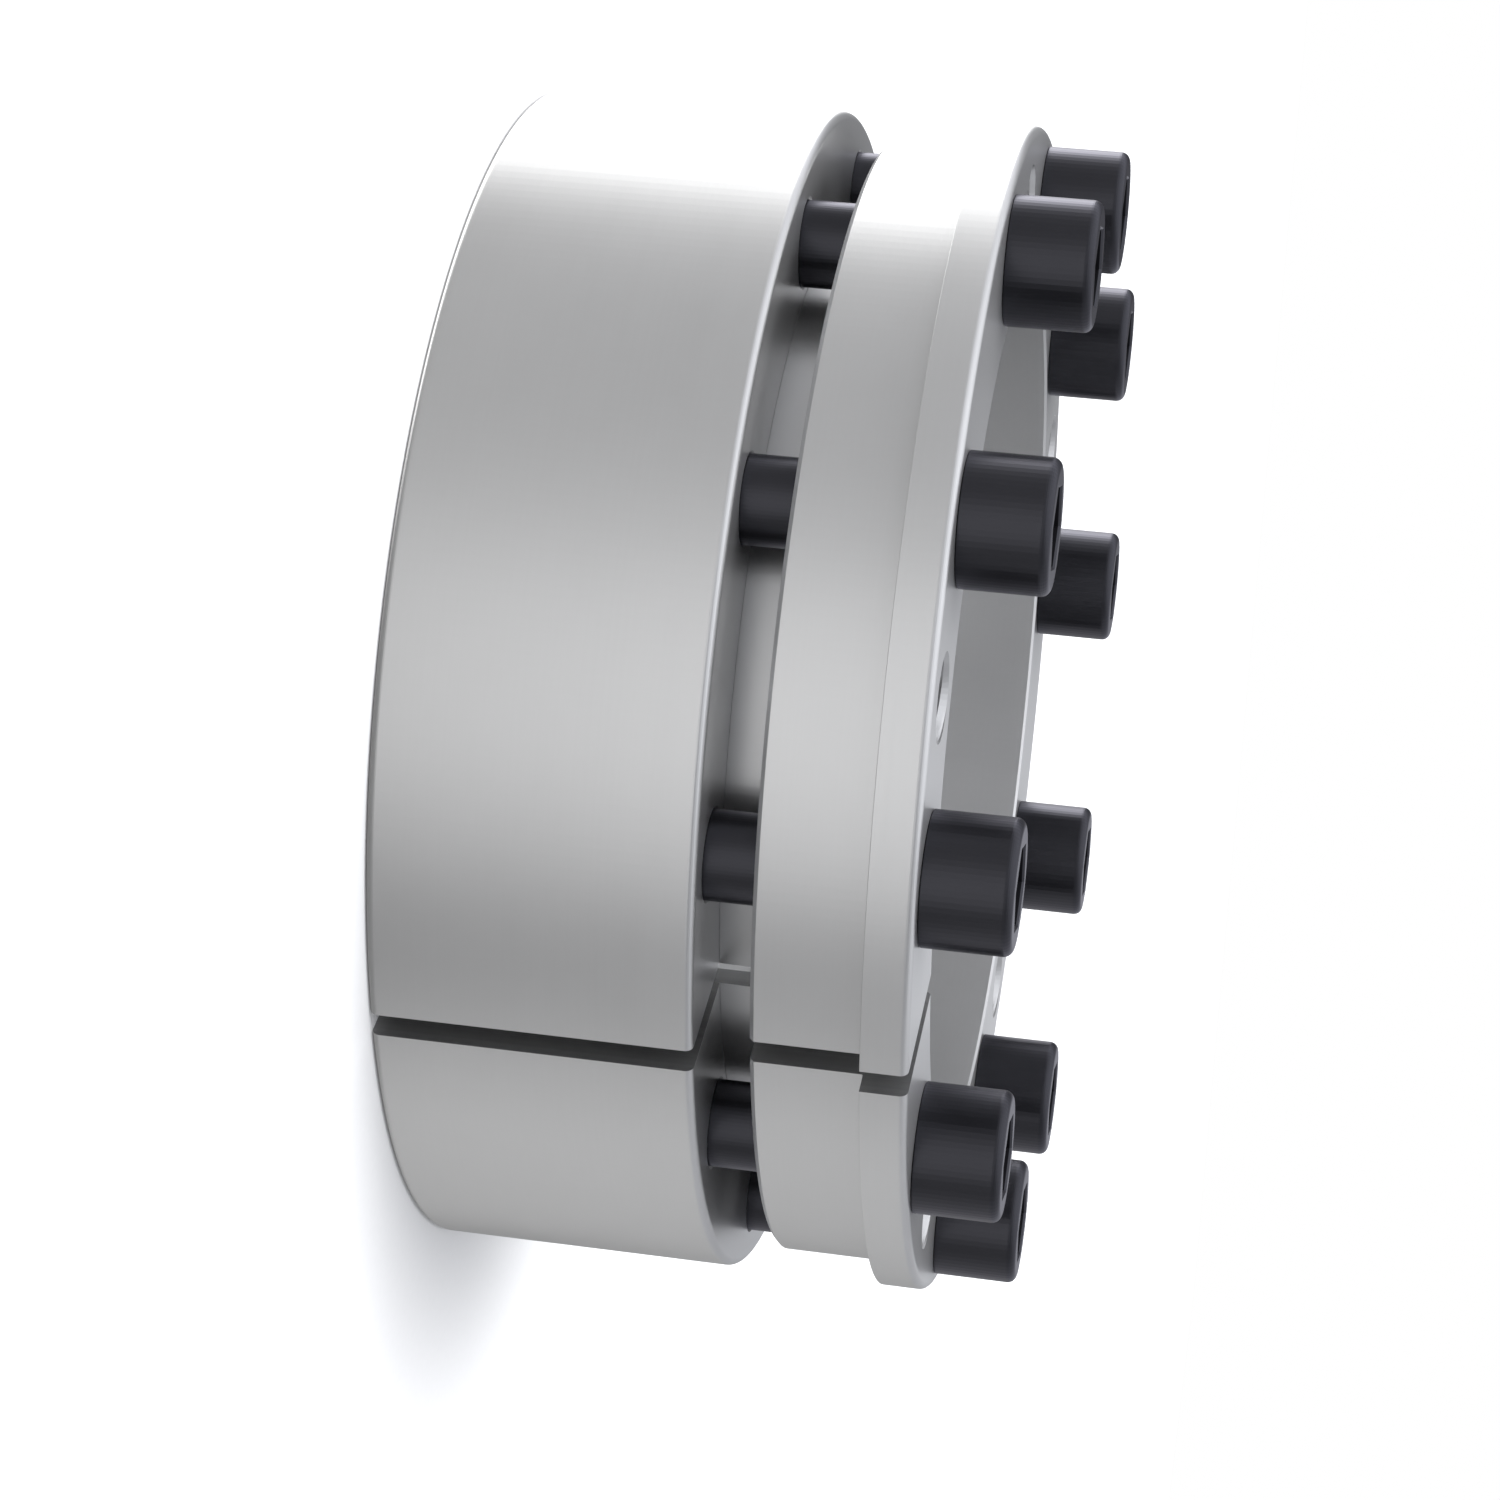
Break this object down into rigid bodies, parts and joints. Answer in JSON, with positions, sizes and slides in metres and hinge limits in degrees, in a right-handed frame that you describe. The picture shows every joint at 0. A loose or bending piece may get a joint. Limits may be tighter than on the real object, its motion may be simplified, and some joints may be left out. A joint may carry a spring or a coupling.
{
  "type": "keyless locking assembly",
  "caption": "Slit outer ring and slit flanged inner ring with matching cones, drawn together by a circle of socket-head cap screws to clamp a hub onto a plain shaft without a key.",
  "frame": {"origin": "centre of the bore, on the outer ring's rear face, on which it stands", "axes": "+Z along the bore towards the screw heads, +X through the slits of both rings"},
  "size_m": [0.2, 0.2, 0.0976],
  "materials": {
    "ring_steel": "fine turned, satin",
    "screw_steel": "black oxide, oiled"
  },
  "bodies": {
    "outer_ring": {"outer_ring": "ring_steel"},
    "inner_ring": {"inner_ring": "ring_steel"},
    "clamp_screw_01": {"clamp_screw_01": "screw_steel"},
    "clamp_screw_02": {"clamp_screw_02": "screw_steel"},
    "clamp_screw_03": {"clamp_screw_03": "screw_steel"},
    "clamp_screw_04": {"clamp_screw_04": "screw_steel"},
    "clamp_screw_05": {"clamp_screw_05": "screw_steel"},
    "clamp_screw_06": {"clamp_screw_06": "screw_steel"},
    "clamp_screw_07": {"clamp_screw_07": "screw_steel"},
    "clamp_screw_08": {"clamp_screw_08": "screw_steel"},
    "clamp_screw_09": {"clamp_screw_09": "screw_steel"},
    "clamp_screw_10": {"clamp_screw_10": "screw_steel"}
  },
  "joints": [
    {"name": "ring_draw", "type": "slide", "parent": "outer_ring", "child": "inner_ring", "axis": [0, 0, 1], "range_m": [-0.002, 0.01]},
    {"name": "clamp_screw_01_turn", "type": "hinge", "parent": "inner_ring", "child": "clamp_screw_01", "pos_m": [0.08322, 0.02704, 0.0836], "axis": [0, 0, 1], "range_deg": [-360, 1800]},
    {"name": "clamp_screw_02_turn", "type": "hinge", "parent": "inner_ring", "child": "clamp_screw_02", "pos_m": [0.05143, 0.07079, 0.0836], "axis": [0, 0, 1], "range_deg": [-360, 1800]},
    {"name": "clamp_screw_03_turn", "type": "hinge", "parent": "inner_ring", "child": "clamp_screw_03", "pos_m": [0, 0.0875, 0.0836], "axis": [0, 0, 1], "range_deg": [-360, 1800]},
    {"name": "clamp_screw_04_turn", "type": "hinge", "parent": "inner_ring", "child": "clamp_screw_04", "pos_m": [-0.05143, 0.07079, 0.0836], "axis": [0, 0, 1], "range_deg": [-360, 1800]},
    {"name": "clamp_screw_05_turn", "type": "hinge", "parent": "inner_ring", "child": "clamp_screw_05", "pos_m": [-0.08322, 0.02704, 0.0836], "axis": [0, 0, 1], "range_deg": [-360, 1800]},
    {"name": "clamp_screw_06_turn", "type": "hinge", "parent": "inner_ring", "child": "clamp_screw_06", "pos_m": [-0.08322, -0.02704, 0.0836], "axis": [0, 0, 1], "range_deg": [-360, 1800]},
    {"name": "clamp_screw_07_turn", "type": "hinge", "parent": "inner_ring", "child": "clamp_screw_07", "pos_m": [-0.05143, -0.07079, 0.0836], "axis": [0, 0, 1], "range_deg": [-360, 1800]},
    {"name": "clamp_screw_08_turn", "type": "hinge", "parent": "inner_ring", "child": "clamp_screw_08", "pos_m": [0, -0.0875, 0.0836], "axis": [0, 0, 1], "range_deg": [-360, 1800]},
    {"name": "clamp_screw_09_turn", "type": "hinge", "parent": "inner_ring", "child": "clamp_screw_09", "pos_m": [0.05143, -0.07079, 0.0836], "axis": [0, 0, 1], "range_deg": [-360, 1800]},
    {"name": "clamp_screw_10_turn", "type": "hinge", "parent": "inner_ring", "child": "clamp_screw_10", "pos_m": [0.08322, -0.02704, 0.0836], "axis": [0, 0, 1], "range_deg": [-360, 1800]}
  ],
  "couplings": [
    {"joint": "clamp_screw_01_turn", "follows": "ring_draw", "rad_per_m": 3141.6},
    {"joint": "clamp_screw_02_turn", "follows": "ring_draw", "rad_per_m": 3141.6},
    {"joint": "clamp_screw_03_turn", "follows": "ring_draw", "rad_per_m": 3141.6},
    {"joint": "clamp_screw_04_turn", "follows": "ring_draw", "rad_per_m": 3141.6},
    {"joint": "clamp_screw_05_turn", "follows": "ring_draw", "rad_per_m": 3141.6},
    {"joint": "clamp_screw_06_turn", "follows": "ring_draw", "rad_per_m": 3141.6},
    {"joint": "clamp_screw_07_turn", "follows": "ring_draw", "rad_per_m": 3141.6},
    {"joint": "clamp_screw_08_turn", "follows": "ring_draw", "rad_per_m": 3141.6},
    {"joint": "clamp_screw_09_turn", "follows": "ring_draw", "rad_per_m": 3141.6},
    {"joint": "clamp_screw_10_turn", "follows": "ring_draw", "rad_per_m": 3141.6}
  ]
}
